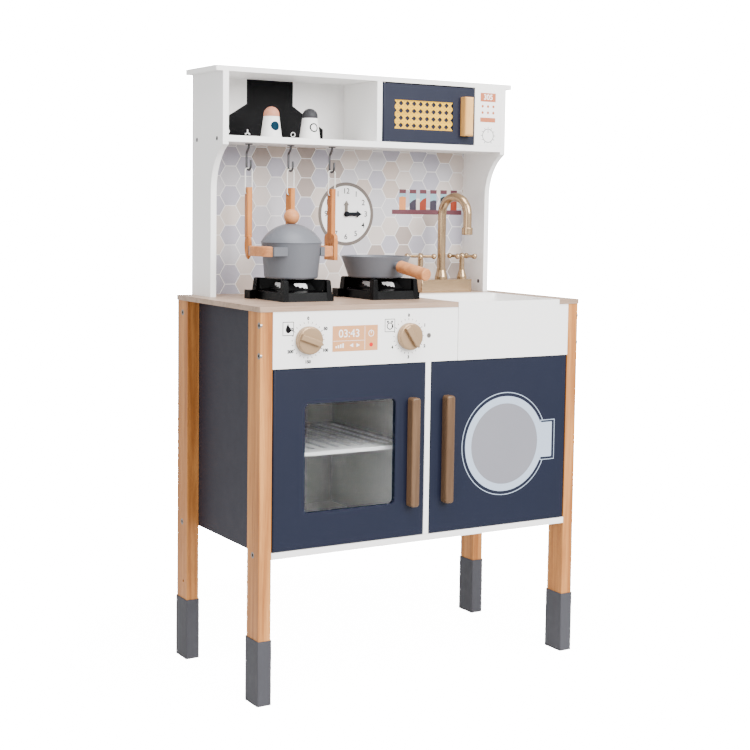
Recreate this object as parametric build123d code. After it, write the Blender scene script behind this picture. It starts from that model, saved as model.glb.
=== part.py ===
"""Toy kitchen: leg frame, two cupboards, sink, hob, tap, hutch with microwave, pans and utensils.

Millimetres. +Z up, +X to the right of someone facing the front, -Y towards that person.
The origin is on the floor under the middle of the whole kitchen's bounding box.
Depths are counted from the worktop's back edge towards the front.
"""

import math
import os

from build123d import *

# overall
WORKTOP_W = 600.0
WORKTOP_D = 311.0
WORKTOP_T = 8.0
WORKTOP_Z = 606.0
FRONT_REACH = 15.5
TOTAL_H = 975.0
BOARD = 10.0
Y_BACK = (WORKTOP_D + FRONT_REACH) / 2

# legs
LEG_W = 21.0
LEG_D = 41.0
LEG_INSET = 1.5
CAP_WALL = 1.4
CAP_H = 100.0
CAP_FLOOR = 3.0

# cabinet
CAB_X = WORKTOP_W / 2 - LEG_INSET - LEG_W
CAB_Z0 = 223.5
CAB_FRONT = 310.0
CAB_BACK = 2.0
BACK_T = 3.0
PANEL_Z = 512.0
DIVIDER_X = -1.5
SHELF_Z = 372.0
SHELF_T = 6.0
SLOT_COUNT = 11
SLOT_W = 9.0
SLOT_PITCH = 22.0

# lower doors
DOOR_GAP = 1.2
DOOR_Z = (235.0, 510.7)
PIVOT_IN = 5.0
PIN_R = 2.0
PIN_CLEAR = 0.05
DOOR_ROUND = 3.0
WINDOW_X = (-222.0, -61.5)
WINDOW_Z = (289.0, 456.5)
WINDOW_R = 7.0
PANE_T = 2.0
PANE_LAP = 6.0
HANDLE_Z = (282.5, 457.0)
HANDLE_W = 15.5
HANDLE_D = 15.5
OVEN_HANDLE_X = -31.2
WASHER_HANDLE_X = 34.3

# knobs
KNOB_X = (-218.5, -39.5)
KNOB_Z = 554.0
KNOB_R = 21.2
KNOB_T = 10.0
KNOB_GAP = 0.5
GRIP_W = 9.0
GRIP_H = 6.0
SHAFT_R = 4.0
KNOB_TURN = (20.0, 56.0)

# sink
SINK_X = (54.0, 257.5)
SINK_BACK = 104.0
SINK_FRONT = 311.5
SINK_WALL = 3.0
SINK_DECK = 27.0
SINK_Z = 512.0

# hutch
HUTCH_X = 274.1
HUTCH_D0 = 3.0
HUTCH_D1 = 122.5
HUTCH_LOW_D = 77.5
HUTCH_CURVE_R = 82.5
HUTCH_CURVE_Z = 778.0
SPLASH_T = 5.0
TOP_T = 8.4
TOP_OVER = 12.2
HSHELF_Z = 856.0
CUBBY_DIV_X = (9.0, 19.0)

# microwave
MW_DOOR_X = (20.2, 206.3)
MW_DOOR_Z = (867.0, 964.6)
CANE_X = (43.8, 161.8)
CANE_Z = (889.0, 938.0)
CANE_T = 1.5
CANE_POCKET = 2.5
CANE_PITCH = (13.2, 12.4)
CANE_GRID = (8, 4)
CANE_HOLE_R = 3.5
MW_HANDLE_X = (178.0, 196.0)
MW_HANDLE_Z = (881.0, 948.5)
MW_HANDLE_D = 15.5
FASCIA_X0 = 208.0

# hob
BURNER_W = 88.0
BURNER_D = 114.0
BURNER_H = 34.0
BURNER_FRONT = 230.0
BURNER_X = (-219.8, -58.0)
POST = (10.0, 15.0)
POST_LEAN = 3.0
POST_ROUND = 3.0
WALL_H = 14.0
LEDGE_H = 17.0
LEDGE = (54.0, 70.0)
CROWN_H = 29.0
CROWN = (40.0, 54.0)
ARM_W = 5.0
ARM_T = 18.0
HUB_R = 12.0
LUG_H = 14.0
LUG_OUT = (12.0, 6.0)

# pans
POT_XY = (-177.0, 173.0)
POT_H = 57.0
POT_R = (42.5, 48.0)
POT_WALL = 2.5
POT_TURN = 8.0
LID_H = 30.0
LID_WALL = 3.0
LID_KNOB_R = 12.5
EAR_REACH = 68.0
EAR_HALF = 36.0
EAR_T = 11.0
EAR_Z = (676.0, 692.0)
EAR_BOSS_X = (58.0, 40.0)
PAN_XY = (-20.0, 173.0)
PAN_H = 35.0
PAN_R = (45.0, 57.5)
PAN_GRIP_R = 10.0
PAN_GRIP_L = 66.0
PAN_GRIP_START = 62.0
PAN_GRIP_Z = 660.0
PAN_GRIP_DROOP = 9.5
PAN_TANG = 14.0
PAN_GRIP_TURN = -81.0
LIFT_GAP = 0.2

# tap
TAP_D = (38.0, 78.0)
TAP_X = (132.0, 239.0)
TAP_BLOCK_H = 22.5
TAP_GAP = 0.3
SPOUT_X = 185.5
SPOUT_R = 7.6
SPOUT_ARCH_R = 30.0
SPOUT_TOP = 783.0
SPOUT_TIP_Z = 709.0
SPOUT_TURN = -75.0
NOZZLE_R = 9.8
CROSS_X = (141.0, 230.0)
CROSS_Z = 669.5
CROSS_ARM = 23.9
CROSS_ARM_R = 2.7
CROSS_BALL_R = 5.0
CROSS_TURN = (-32.5, -53.5)

# clock
CLOCK_X = 16.1
CLOCK_Z = 742.5
CLOCK_PIN_R = 1.5
HAND_T = 1.6
HOUR_L = 23.5
MINUTE_L = 29.5

# utensils
HOOK_X = (-205.7, -128.8, -50.5)
HOOK_D = 75.0
HOOK_WIRE = 1.8
HOOK_R = 8.0
HOOK_LOW_Z = 813.0
BAR_X = 9.0
BAR_Y = 16.0
BAR_TOP = 785.0
HOLE_Z = 773.5
HOLE_R = 2.4
CORD_R = 1.1
CORD_HALF = 6.2
UTENSIL_LOW = 667.0
UTENSIL_TWIST = (-9.0, 12.0, 0.0)

# shakers
SHAKER_X = (-170.2, -98.8)
SHAKER_D = 85.0
SHAKER_R = (17.5, 13.0)
SHAKER_BODY_H = 35.0
SHAKER_CAP_H = 16.0

BOTTOM = (Align.CENTER, Align.CENTER, Align.MIN)


def yb(depth):
    """Row y of a point this far in front of the worktop's back edge."""
    return Y_BACK - depth


def slab(x, d, z):
    """Box from spans in x, in depth from the back edge, and in z."""
    middle = Pos((x[0] + x[1]) / 2, yb((d[0] + d[1]) / 2), (z[0] + z[1]) / 2)
    return middle * Box(x[1] - x[0], d[1] - d[0], z[1] - z[0])


def rod_z(x, depth, z, radius):
    return Pos(x, yb(depth), z[0]) * Cylinder(radius, z[1] - z[0], align=BOTTOM)


def rod_y(x, d, z, radius):
    return Pos(x, yb((d[0] + d[1]) / 2), z) * Rot(90, 0, 0) * Cylinder(radius, d[1] - d[0])


def rod_x(x, depth, z, radius):
    return Pos((x[0] + x[1]) / 2, yb(depth), z) * Rot(0, 90, 0) * Cylinder(radius, x[1] - x[0])


def both_sides(shape):
    return [shape, shape.mirror(Plane.YZ)]


def group(shapes):
    return Compound(children=list(shapes))


# ---------------------------------------------------------------- legs and cabinet

FRONT_LEG_D = (WORKTOP_D - LEG_INSET + 0.5 - LEG_D, WORKTOP_D - LEG_INSET + 0.5)
BACK_LEG_D = (LEG_INSET, LEG_INSET + LEG_D)
LEG_X = (CAB_X, CAB_X + LEG_W)
BOLT_HEAD_R = 5.0
BOLT_HEAD_T = 3.0
BOLT_R = 3.0
BOLT_L = 18.0
SOCKET_R = 2.4
FRONT_BOLTS = [(305.5, 578.0), (305.5, 532.5), (289.0, 229.0)]
BACK_BOLTS = [(22.0, 578.0), (22.0, 229.0)]
SPARE_HOLE = (28.0, 130.0)


def bolt(depth, z):
    outer = LEG_X[1]
    head = rod_x((outer - BOLT_HEAD_T, outer), depth, z, BOLT_HEAD_R)
    shank = rod_x((outer - BOLT_L, outer - BOLT_HEAD_T), depth, z, BOLT_R)
    socket = rod_x((outer - BOLT_HEAD_T + 0.6, outer), depth, z, SOCKET_R)
    return head + shank - socket


def bolt_hole(depth, z):
    outer = LEG_X[1]
    head = rod_x((outer - BOLT_HEAD_T, outer), depth, z, BOLT_HEAD_R)
    return head + rod_x((outer - BOLT_L, outer - BOLT_HEAD_T), depth, z, BOLT_R)


def leg(span, bolts):
    post = slab(LEG_X, span, (CAP_FLOOR, WORKTOP_Z - WORKTOP_T))
    post = fillet(post.edges().filter_by(Axis.Z), 1.0)
    for depth, z in bolts:
        post -= bolt_hole(depth, z)
    return post


def back_leg():
    depth, z = SPARE_HOLE
    return leg(BACK_LEG_D, BACK_BOLTS) - rod_x((LEG_X[1] - 12, LEG_X[1]), depth, z, 2.5)


def cap(span):
    x = (LEG_X[0] - CAP_WALL, LEG_X[1] + CAP_WALL)
    d = (span[0] - CAP_WALL, span[1] + CAP_WALL)
    shell = slab(x, d, (0, CAP_H))
    shell = fillet(shell.edges().filter_by(Axis.Z), 2.0)
    return shell - slab(LEG_X, span, (CAP_FLOOR, CAP_H))


def leg_caps():
    pair = both_sides(cap(FRONT_LEG_D)) + both_sides(cap(BACK_LEG_D))
    return group(pair)


def leg_bolts():
    shapes = []
    for depth, z in FRONT_BOLTS + BACK_BOLTS:
        shapes += both_sides(bolt(depth, z))
    return group(shapes)


def worktop():
    top = slab((-WORKTOP_W / 2, WORKTOP_W / 2), (0, WORKTOP_D), (WORKTOP_Z - WORKTOP_T, WORKTOP_Z))
    top = fillet(top.edges().filter_by(Axis.Z), 2.0)
    cut = slab(SINK_X, (SINK_BACK, WORKTOP_D + 5), (WORKTOP_Z - WORKTOP_T, WORKTOP_Z))
    return top - cut


def side_panel():
    x = (CAB_X - BOARD, CAB_X)
    front = CAB_FRONT - BOARD
    panel = slab(x, (CAB_BACK + BACK_T, front - 1), (CAB_Z0, PANEL_Z))
    return panel + slab(x, (CAB_BACK + BACK_T, front), (PANEL_Z, WORKTOP_Z - WORKTOP_T))


def lower_back():
    x = (-CAB_X, CAB_X)
    return slab(x, (CAB_BACK, CAB_BACK + BACK_T), (CAB_Z0, WORKTOP_Z - WORKTOP_T))


def pivot_hole(x, depth, z, radius=PIN_R):
    return rod_z(x, depth, z, radius)


LOW_PIVOT_X = CAB_X - DOOR_GAP - PIVOT_IN
LOW_PIVOT_D = CAB_FRONT - BOARD / 2
LOW_PIN_Z = (CAB_Z0 + 4, DOOR_Z[0] + 8)
LOW_PIN_TOP_Z = (DOOR_Z[1] - 8, PANEL_Z + 7)


def bottom_board():
    inner = CAB_X - BOARD
    z = (CAB_Z0, CAB_Z0 + BOARD)
    floor = slab((-inner, inner), (CAB_BACK + BACK_T, CAB_FRONT), z)
    lip = slab((-CAB_X, CAB_X), (CAB_FRONT - BOARD - 1, CAB_FRONT), z)
    board = floor + lip
    for side in (-1, 1):
        board -= pivot_hole(side * LOW_PIVOT_X, LOW_PIVOT_D, (LOW_PIN_Z[0], z[1]))
    return board


def centre_divider():
    x = (DIVIDER_X - BOARD / 2, DIVIDER_X + BOARD / 2)
    z0 = CAB_Z0 + BOARD
    rear = slab(x, (CAB_BACK + BACK_T, CAB_FRONT - BOARD), (z0, WORKTOP_Z - WORKTOP_T))
    return rear + slab(x, (CAB_FRONT - BOARD, CAB_FRONT), (z0, PANEL_Z))


def oven_shelf():
    x = (-CAB_X + BOARD, DIVIDER_X - BOARD / 2)
    shelf = slab(x, (CAB_BACK + BACK_T, 286.0), (SHELF_Z, SHELF_Z + SHELF_T))
    middle = (x[0] + x[1]) / 2
    for i in range(SLOT_COUNT):
        at = middle + (i - (SLOT_COUNT - 1) / 2) * SLOT_PITCH
        shelf -= slab((at - SLOT_W / 2, at + SLOT_W / 2), (35.0, 262.0), (SHELF_Z, SHELF_Z + SHELF_T))
    return shelf


def control_panel():
    d = (CAB_FRONT - BOARD, CAB_FRONT)
    board = slab((-CAB_X, SINK_X[0] - 0.3), d, (PANEL_Z, WORKTOP_Z - WORKTOP_T))
    for x in KNOB_X:
        board -= rod_y(x, d, KNOB_Z, SHAFT_R + PIN_CLEAR)
    board -= pivot_hole(-LOW_PIVOT_X, LOW_PIVOT_D, (PANEL_Z, LOW_PIN_TOP_Z[1]))
    return board - rod_y(DIVIDER_X, (CAB_FRONT - 3, CAB_FRONT), KNOB_Z, 4.0)


def control_strip():
    """Narrow upright board between the sink and the right-hand leg."""
    d = (CAB_FRONT - BOARD, CAB_FRONT)
    strip = slab((SINK_X[1] + 0.3, CAB_X), d, (PANEL_Z, WORKTOP_Z - WORKTOP_T))
    return strip - pivot_hole(LOW_PIVOT_X, LOW_PIVOT_D, (PANEL_Z, LOW_PIN_TOP_Z[1]))


def panel_fixing():
    d = (CAB_FRONT - 3, CAB_FRONT)
    head = rod_y(DIVIDER_X, d, KNOB_Z, 4.0)
    slot = slab((DIVIDER_X - 2.6, DIVIDER_X + 2.6), (CAB_FRONT - 1, CAB_FRONT), (KNOB_Z - 0.6, KNOB_Z + 0.6))
    cross = slab((DIVIDER_X - 0.6, DIVIDER_X + 0.6), (CAB_FRONT - 1, CAB_FRONT), (KNOB_Z - 2.6, KNOB_Z + 2.6))
    return head - slot - cross


def sink():
    x = (SINK_X[0] + 0.5, SINK_X[1] - 0.5)
    front = SINK_FRONT - SINK_WALL
    tub = slab(x, (SINK_BACK + SINK_DECK - SINK_WALL, front), (SINK_Z, WORKTOP_Z))
    deck_d = (SINK_BACK, SINK_BACK + SINK_DECK)
    tub += slab(SINK_X, deck_d, (WORKTOP_Z - WORKTOP_T, WORKTOP_Z))
    tub += slab(SINK_X, (SINK_BACK + SINK_DECK, front), (WORKTOP_Z - WORKTOP_T, WORKTOP_Z))
    tub += slab(SINK_X, (front, SINK_FRONT), (SINK_Z, WORKTOP_Z))
    bowl_x = (SINK_X[0] + SINK_WALL + 0.5, SINK_X[1] - SINK_WALL - 0.5)
    bowl = slab(bowl_x, (SINK_BACK + SINK_DECK, front), (SINK_Z + SINK_WALL, WORKTOP_Z + 20))
    bowl = fillet(bowl.edges().filter_by(Axis.Z), 6.0)
    return tub - bowl


# ---------------------------------------------------------------- lower doors


def swing_door(x, hinge_left):
    """Lower cupboard door with pivot holes near one rounded upright edge."""
    d = (CAB_FRONT - BOARD, CAB_FRONT)
    door = slab(x, d, DOOR_Z)
    uprights = door.edges().filter_by(Axis.Z).sort_by(Axis.X)
    chosen = uprights[:2] if hinge_left else uprights[-2:]
    door = fillet(chosen, DOOR_ROUND)
    at = x[0] + PIVOT_IN if hinge_left else x[1] - PIVOT_IN
    door -= pivot_hole(at, LOW_PIVOT_D, (DOOR_Z[0], LOW_PIN_Z[1] + 0.5), PIN_R + PIN_CLEAR)
    return door - pivot_hole(at, LOW_PIVOT_D, (LOW_PIN_TOP_Z[0] - 0.5, DOOR_Z[1]), PIN_R + PIN_CLEAR)


PANE_X = (WINDOW_X[0] - PANE_LAP, WINDOW_X[1] + PANE_LAP)
PANE_Z = (WINDOW_Z[0] - PANE_LAP, WINDOW_Z[1] + PANE_LAP)
PANE_D = (CAB_FRONT - BOARD, CAB_FRONT - BOARD + PANE_T)


def oven_door():
    x = (-CAB_X + DOOR_GAP, DIVIDER_X - BOARD / 2 - 1.0)
    door = swing_door(x, True)
    window = slab(WINDOW_X, (CAB_FRONT - BOARD, CAB_FRONT), WINDOW_Z)
    window = fillet(window.edges().filter_by(Axis.Y), WINDOW_R)
    return door - window - slab(PANE_X, PANE_D, PANE_Z)


def oven_window():
    return slab(PANE_X, PANE_D, PANE_Z)


def washer_door():
    return swing_door((DIVIDER_X + BOARD / 2 + 1.0, CAB_X - DOOR_GAP), False)


def bar_handle(x):
    span = (x - HANDLE_W / 2, x + HANDLE_W / 2)
    bar = slab(span, (CAB_FRONT, CAB_FRONT + HANDLE_D), HANDLE_Z)
    bar = fillet(bar.edges().filter_by(Axis.Y), 5.0)
    return fillet(bar.faces().sort_by(Axis.Y)[0].edges(), 3.0)


def door_pins():
    shapes = []
    for side in (-1, 1):
        shapes.append(rod_z(side * LOW_PIVOT_X, LOW_PIVOT_D, LOW_PIN_Z, PIN_R))
        shapes.append(rod_z(side * LOW_PIVOT_X, LOW_PIVOT_D, LOW_PIN_TOP_Z, PIN_R))
    shapes.append(rod_z(MW_PIVOT_X, MW_PIVOT_D, MW_PIN_Z, PIN_R))
    shapes.append(rod_z(MW_PIVOT_X, MW_PIVOT_D, MW_PIN_TOP_Z, PIN_R))
    return group(shapes)


# ---------------------------------------------------------------- knobs


def knob(x, turn):
    """Round knob with a raised pointed grip and a shaft through the panel."""
    base = CAB_FRONT + KNOB_GAP
    disc = rod_y(x, (base, base + KNOB_T), KNOB_Z, KNOB_R)
    disc = fillet(disc.edges().sort_by(Axis.Y)[0], 2.5)
    front = base + KNOB_T
    outline = Polyline(
        (-KNOB_R + 2.5, -GRIP_W / 2),
        (KNOB_R - 7.0, -GRIP_W / 2),
        (KNOB_R - 0.5, 0),
        (KNOB_R - 7.0, GRIP_W / 2),
        (-KNOB_R + 2.5, GRIP_W / 2),
        close=True,
    )
    grip = extrude(make_face(outline), amount=GRIP_H + 1.0)
    grip = fillet(grip.faces().sort_by(Axis.Z)[-1].edges(), 1.4)
    place = Pos(x, yb(front - 1.0), KNOB_Z) * Rot(90, 0, 0) * Rot(0, 0, -turn)
    shaft = rod_y(x, (CAB_FRONT - BOARD - 6, base), KNOB_Z, SHAFT_R)
    return disc + place * grip + shaft


# ---------------------------------------------------------------- hutch

HUTCH_IN = HUTCH_X - BOARD
TOP_Z0 = TOTAL_H - TOP_T
SHELF_TOP = HSHELF_Z + BOARD
SPLASH_D = HUTCH_D0 + SPLASH_T
MW_PIVOT_X = MW_DOOR_X[0] + PIVOT_IN
MW_PIVOT_D = HUTCH_D1 - BOARD / 2
MW_PIN_Z = (SHELF_TOP - 6, MW_DOOR_Z[0] + 7)
MW_PIN_TOP_Z = (MW_DOOR_Z[1] - 7, TOP_Z0 + 5)
SIDE_SCREWS = [(22.0, 861.0), (100.0, 861.0)]
FOOT_SCREW = (62.0, 624.0)
SCREW_R = 3.5
SCREW_T = 2.0


def hutch_side():
    x = (HUTCH_IN, HUTCH_X)
    side = slab(x, (HUTCH_D0, HUTCH_D1), (WORKTOP_Z, TOP_Z0))
    side -= slab(x, (HUTCH_LOW_D, HUTCH_D1 + 5), (WORKTOP_Z - 5, HUTCH_CURVE_Z))
    side -= rod_x(x, HUTCH_LOW_D + HUTCH_CURVE_R, HUTCH_CURVE_Z, HUTCH_CURVE_R)
    for depth, z in SIDE_SCREWS:
        side -= rod_x((HUTCH_X - SCREW_T, HUTCH_X), depth, z, SCREW_R)
    depth, z = FOOT_SCREW
    return side - rod_x((HUTCH_IN, HUTCH_IN + SCREW_T), depth, z, SCREW_R)


def screw_head(x, depth, z, faces_out):
    head = rod_x(x, depth, z, SCREW_R)
    outer = (x[1] - 0.8, x[1]) if faces_out else (x[0], x[0] + 0.8)
    flat = slab(outer, (depth - 2.4, depth + 2.4), (z - 0.5, z + 0.5))
    return head - flat - slab(outer, (depth - 0.5, depth + 0.5), (z - 2.4, z + 2.4))


def hutch_screws():
    shapes = []
    for depth, z in SIDE_SCREWS:
        shapes += both_sides(screw_head((HUTCH_X - SCREW_T, HUTCH_X), depth, z, True))
    depth, z = FOOT_SCREW
    shapes += both_sides(screw_head((HUTCH_IN, HUTCH_IN + SCREW_T), depth, z, False))
    return group(shapes)


def hutch_top():
    x = (-HUTCH_X - TOP_OVER, HUTCH_X + TOP_OVER)
    top = slab(x, (HUTCH_D0, HUTCH_D1), (TOP_Z0, TOTAL_H))
    top = fillet(top.edges().filter_by(Axis.Z), 2.0)
    return top - pivot_hole(MW_PIVOT_X, MW_PIVOT_D, (TOP_Z0, MW_PIN_TOP_Z[1]))


def hutch_shelf():
    shelf = slab((-HUTCH_IN, HUTCH_IN), (SPLASH_D, HUTCH_D1), (HSHELF_Z, SHELF_TOP))
    return shelf - pivot_hole(MW_PIVOT_X, MW_PIVOT_D, (MW_PIN_Z[0], SHELF_TOP))


def cubby_divider():
    return slab(CUBBY_DIV_X, (SPLASH_D, HUTCH_D1), (SHELF_TOP, TOP_Z0))


def microwave_fascia():
    return slab((FASCIA_X0, HUTCH_IN), (HUTCH_D1 - BOARD, HUTCH_D1), (SHELF_TOP, TOP_Z0))


def backsplash():
    board = slab((-HUTCH_IN, HUTCH_IN), (HUTCH_D0, SPLASH_D), (WORKTOP_Z, TOP_Z0))
    return board - rod_y(CLOCK_X, (HUTCH_D0 + 1, SPLASH_D), CLOCK_Z, CLOCK_PIN_R)


def microwave_door():
    d = (HUTCH_D1 - BOARD, HUTCH_D1)
    door = slab(MW_DOOR_X, d, MW_DOOR_Z)
    uprights = door.edges().filter_by(Axis.Z).sort_by(Axis.X)
    door = fillet(uprights[:2], DOOR_ROUND)
    door -= pivot_hole(MW_PIVOT_X, MW_PIVOT_D, (MW_DOOR_Z[0], MW_PIN_Z[1] + 0.5), PIN_R + PIN_CLEAR)
    door -= pivot_hole(MW_PIVOT_X, MW_PIVOT_D, (MW_PIN_TOP_Z[0] - 0.5, MW_DOOR_Z[1]), PIN_R + PIN_CLEAR)
    return door - slab(CANE_X, (CANE_D[0], HUTCH_D1), CANE_Z)


CANE_D = (HUTCH_D1 - CANE_POCKET, HUTCH_D1 - CANE_POCKET + CANE_T)


def cane_panel():
    sheet = slab(CANE_X, CANE_D, CANE_Z)
    mid_x = (CANE_X[0] + CANE_X[1]) / 2
    mid_z = (CANE_Z[0] + CANE_Z[1]) / 2
    for i in range(CANE_GRID[0]):
        for j in range(CANE_GRID[1]):
            x = mid_x + (i - (CANE_GRID[0] - 1) / 2) * CANE_PITCH[0]
            z = mid_z + (j - (CANE_GRID[1] - 1) / 2) * CANE_PITCH[1]
            sheet -= rod_y(x, CANE_D, z, CANE_HOLE_R)
    return sheet


def microwave_handle():
    bar = slab(MW_HANDLE_X, (HUTCH_D1, HUTCH_D1 + MW_HANDLE_D), MW_HANDLE_Z)
    return fillet(bar.faces().sort_by(Axis.Y)[0].edges(), 4.0)


# ---------------------------------------------------------------- clock


def clock_pin():
    pin = rod_y(CLOCK_X, (HUTCH_D0 + 1, SPLASH_D + 6), CLOCK_Z, CLOCK_PIN_R)
    return pin + rod_y(CLOCK_X, (SPLASH_D + 5, SPLASH_D + 7), CLOCK_Z, 3.5)


def clock_hand(length, half, head_half, layer, turn):
    """Flat arrow-headed hand on the clock pin; turn 0 points up."""
    neck = length - 1.5 * head_half
    outline = Polyline(
        (-half, -half),
        (half, -half),
        (half, neck),
        (head_half, neck),
        (0, length),
        (-head_half, neck),
        (-half, neck),
        close=True,
    )
    plate = extrude(make_face(outline), amount=HAND_T)
    plate += Cylinder(4.8, HAND_T, align=BOTTOM)
    plate -= Cylinder(CLOCK_PIN_R + PIN_CLEAR, HAND_T, align=BOTTOM)
    return Pos(CLOCK_X, yb(layer), CLOCK_Z) * Rot(90, 0, 0) * Rot(0, 0, -turn) * plate


def hour_hand():
    return clock_hand(HOUR_L, 2.6, 5.2, SPLASH_D + 0.4, 0.0)


def minute_hand():
    return clock_hand(MINUTE_L, 3.2, 6.2, SPLASH_D + 2.6, 90.0)


# ---------------------------------------------------------------- hooks and utensils


def hook(x):
    """J hook in a plane square to the backsplash, opening to the front."""
    stem = HOOK_D - HOOK_R
    tip = HOOK_D + HOOK_R
    arc_z = HOOK_LOW_Z + HOOK_R
    points = [
        (x, yb(HOOK_D), HSHELF_Z),
        (x, yb(HOOK_D), HSHELF_Z - 6),
        (x, yb(stem), HSHELF_Z - 15),
        (x, yb(stem), arc_z),
    ]
    top = FilletPolyline(*points, radius=4.0)
    bend = ThreePointArc(points[-1], (x, yb(HOOK_D), HOOK_LOW_Z), (x, yb(tip), arc_z))
    rise = Line((x, yb(tip), arc_z), (x, yb(tip), arc_z + 8))
    path = Wire(top.edges() + bend.edges() + rise.edges())
    section = Plane(origin=points[0], z_dir=(0, 0, -1)) * Circle(HOOK_WIRE)
    wire = sweep(section, path=path)
    return wire + rod_z(x, HOOK_D, (HSHELF_Z - 2, HSHELF_Z), 6.0)


def hooks():
    return group(hook(x) for x in HOOK_X)


def bar_blank(x, z0):
    bar = slab((x - BAR_X / 2, x + BAR_X / 2), (HOOK_D - BAR_Y / 2, HOOK_D + BAR_Y / 2), (z0, BAR_TOP))
    bar = fillet(bar.edges().filter_by(Axis.Z), 2.0)
    return bar - rod_x((x - BAR_X, x + BAR_X), HOOK_D, HOLE_Z, HOLE_R)


def turned(shape, index):
    """Hanging utensil turned about its own upright axis."""
    place = Pos(HOOK_X[index], yb(HOOK_D), 0)
    return place * Rot(0, 0, UTENSIL_TWIST[index]) * place.inverse() * shape


def spoon():
    x = HOOK_X[0]
    middle = UTENSIL_LOW + 22.0
    head = Pos(x, yb(HOOK_D), middle) * scale(Sphere(1.0), (5.2, 13.0, 22.0))
    dish = Pos(x - 5.4, yb(HOOK_D), middle) * scale(Sphere(1.0), (4.0, 9.5, 17.0))
    return turned(bar_blank(x, middle + 14) + head - dish, 0)


def slotted_blade(x, half, z, slot_half, slot_z):
    """Flat blade with three upright slots and rounded shoulders."""
    blade = slab((x - 3.5, x + 3.5), (HOOK_D - half, HOOK_D + half), z)
    blade = fillet(blade.edges().filter_by(Axis.X).group_by(Axis.Z)[-1], 8.0)
    for i in (-1, 0, 1):
        d = (HOOK_D + i * 8 - slot_half, HOOK_D + i * 8 + slot_half)
        blade -= slab((x - 5, x + 5), d, slot_z)
    return blade


def fork_spatula():
    x = HOOK_X[1]
    blade_z = (UTENSIL_LOW, UTENSIL_LOW + 44)
    blade = slotted_blade(x, 16.0, blade_z, 1.6, (UTENSIL_LOW - 1, UTENSIL_LOW + 24))
    return turned(bar_blank(x, UTENSIL_LOW + 34) + blade, 1)


def turner():
    x = HOOK_X[2]
    blade_z = (UTENSIL_LOW - 2, UTENSIL_LOW + 42)
    blade = slotted_blade(x, 17.5, blade_z, 1.4, (UTENSIL_LOW + 6, UTENSIL_LOW + 26))
    return turned(bar_blank(x, UTENSIL_LOW + 34) + blade, 2)


def cord(x):
    """Loop from one mouth of the handle's hole, over the hook and back."""
    top = HOOK_LOW_Z + HOOK_WIRE + CORD_R + 0.1
    y = yb(HOOK_D)
    points = [
        (x - 1.0, y, HOLE_Z),
        (x - CORD_HALF, y, HOLE_Z),
        (x - CORD_HALF, y, top),
        (x + CORD_HALF, y, top),
        (x + CORD_HALF, y, HOLE_Z),
        (x + 1.0, y, HOLE_Z),
    ]
    short = 0.45 * (CORD_HALF - 1.0)
    wide = 0.45 * 2 * CORD_HALF
    path = FilletPolyline(*points, radius=[short, wide, wide, short])
    section = Plane(origin=points[0], z_dir=(-1, 0, 0)) * Circle(CORD_R)
    return sweep(section, path=path)


# ---------------------------------------------------------------- tap


def tap_block():
    block = slab(TAP_X, TAP_D, (WORKTOP_Z, WORKTOP_Z + TAP_BLOCK_H))
    return fillet(block.edges().filter_by(Axis.Z), 1.5)


TAP_MID = (TAP_D[0] + TAP_D[1]) / 2
TAP_Z = WORKTOP_Z + TAP_BLOCK_H + TAP_GAP


def spout():
    arch_z = SPOUT_TOP - SPOUT_R - SPOUT_ARCH_R
    reach = 2 * SPOUT_ARCH_R
    riser = Pos(0, 0, TAP_Z) * Cylinder(SPOUT_R, arch_z - TAP_Z, align=BOTTOM)
    ring = Torus(SPOUT_ARCH_R, SPOUT_R)
    ring = Pos(SPOUT_ARCH_R, 0, arch_z) * Rot(90, 0, 0) * ring
    ring &= Pos(SPOUT_ARCH_R, 0, arch_z) * Box(200, 60, 200, align=BOTTOM)
    drop = Pos(reach, 0, SPOUT_TIP_Z) * Cylinder(SPOUT_R, arch_z - SPOUT_TIP_Z, align=BOTTOM)
    nozzle = Pos(reach, 0, SPOUT_TIP_Z) * Cylinder(NOZZLE_R, 13, align=BOTTOM)
    nozzle = fillet(nozzle.edges().filter_by(GeomType.CIRCLE), 1.5)
    base = Pos(0, 0, TAP_Z) * Cylinder(11.5, 4, align=BOTTOM)
    base += Pos(0, 0, TAP_Z + 4) * Cone(11.5, SPOUT_R + 0.5, 12, align=BOTTOM)
    base += Pos(0, 0, TAP_Z + 16) * Cylinder(SPOUT_R + 0.9, 2.5, align=BOTTOM)
    body = riser + ring + drop + nozzle + base
    body -= Pos(reach, 0, SPOUT_TIP_Z) * Cylinder(5.5, 9, align=BOTTOM)
    return Pos(SPOUT_X, yb(TAP_MID), 0) * Rot(0, 0, SPOUT_TURN) * body


def cross_tap(x, turn):
    """Four-armed tap handle on its flared post."""
    post = Pos(0, 0, TAP_Z) * Cylinder(9.0, 4, align=BOTTOM)
    post += Pos(0, 0, TAP_Z + 4) * Cone(8.6, 4.9, 12, align=BOTTOM)
    post += Pos(0, 0, TAP_Z + 16) * Cylinder(4.8, CROSS_Z - TAP_Z - 16, align=BOTTOM)
    head = Pos(0, 0, CROSS_Z) * Sphere(5.8)
    for arm in range(2):
        bar = Rot(0, 0, 90 * arm) * Rot(0, 90, 0) * Cylinder(CROSS_ARM_R, 2 * CROSS_ARM)
        head += Pos(0, 0, CROSS_Z) * bar
    for arm in range(4):
        head += Pos(0, 0, CROSS_Z) * Rot(0, 0, 90 * arm) * Pos(CROSS_ARM, 0, 0) * Sphere(CROSS_BALL_R)
    return Pos(x, yb(TAP_MID), 0) * Rot(0, 0, turn) * (post + head)


# ---------------------------------------------------------------- hob


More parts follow.
